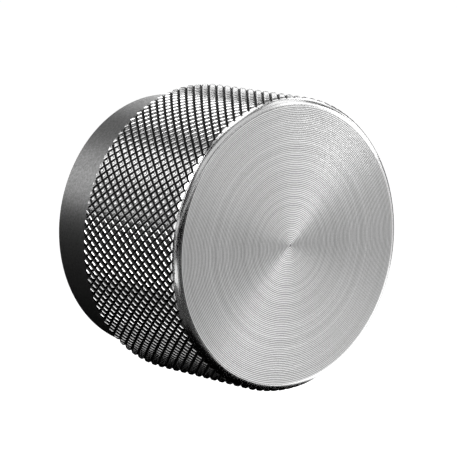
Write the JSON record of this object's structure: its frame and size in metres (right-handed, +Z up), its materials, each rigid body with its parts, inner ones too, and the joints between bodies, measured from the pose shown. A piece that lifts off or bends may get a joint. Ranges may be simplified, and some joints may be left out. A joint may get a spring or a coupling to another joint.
{
  "type": "cabinet knob",
  "caption": "Round cabinet knob turned from steel bar, with a diamond-knurled rim, flat face and smooth collar, fixed by a machine screw from behind.",
  "frame": {"origin": "centre of the back face, on the knob's axis, at the mouth of the fixing thread", "axes": "+Z up and +Y into the cabinet front, so the knob stands out along -Y and its flat face looks along -Y; +X to the right seen from the front"},
  "size_m": [0.03, 0.021, 0.03],
  "materials": {
    "turned_steel": "fine-turned face and chamfer, crisp diamond knurl, finely matte collar"
  },
  "bodies": {
    "root": {"knob": "turned_steel"}
  },
  "joints": []
}
